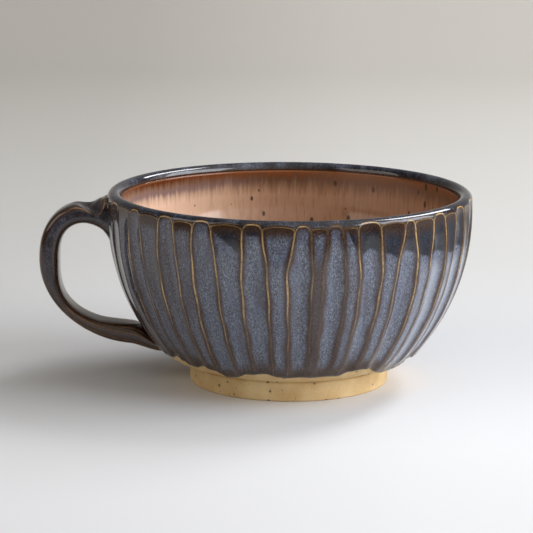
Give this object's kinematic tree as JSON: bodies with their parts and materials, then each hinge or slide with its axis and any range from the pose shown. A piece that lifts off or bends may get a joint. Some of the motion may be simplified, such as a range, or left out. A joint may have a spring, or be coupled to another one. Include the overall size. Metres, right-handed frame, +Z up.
{
  "type": "cafe au lait mug",
  "caption": "Wide stoneware cafe au lait mug with a carved, fluted wall, a turned foot ring, a pulled strap handle and fired glaze coats inside and out.",
  "frame": {"origin": "on the table, under the middle of the whole mug's box, handle included; the bowl's axis stands 13.5 mm to the +X side of it", "axes": "+Z up through the open mouth, -X towards the handle, -Y towards the side seen in the picture"},
  "size_m": [0.1719, 0.145, 0.0765],
  "materials": {
    "stoneware": "bare fired buff stoneware, matt, with small dark specks",
    "slip": "fired slip, matt",
    "blue_glaze": "glossy blue-grey glaze that breaks tan and brown over the ridges",
    "liner_glaze": "satin pink-tan liner glaze with a brown band under the lip"
  },
  "bodies": {
    "root": {"bowl": "stoneware", "foot_ring": "stoneware", "handle": "stoneware", "upper_slip_joint": "slip", "lower_slip_joint": "slip", "outer_glaze": "blue_glaze", "liner_glaze": "liner_glaze", "handle_glaze": "blue_glaze"}
  },
  "joints": []
}
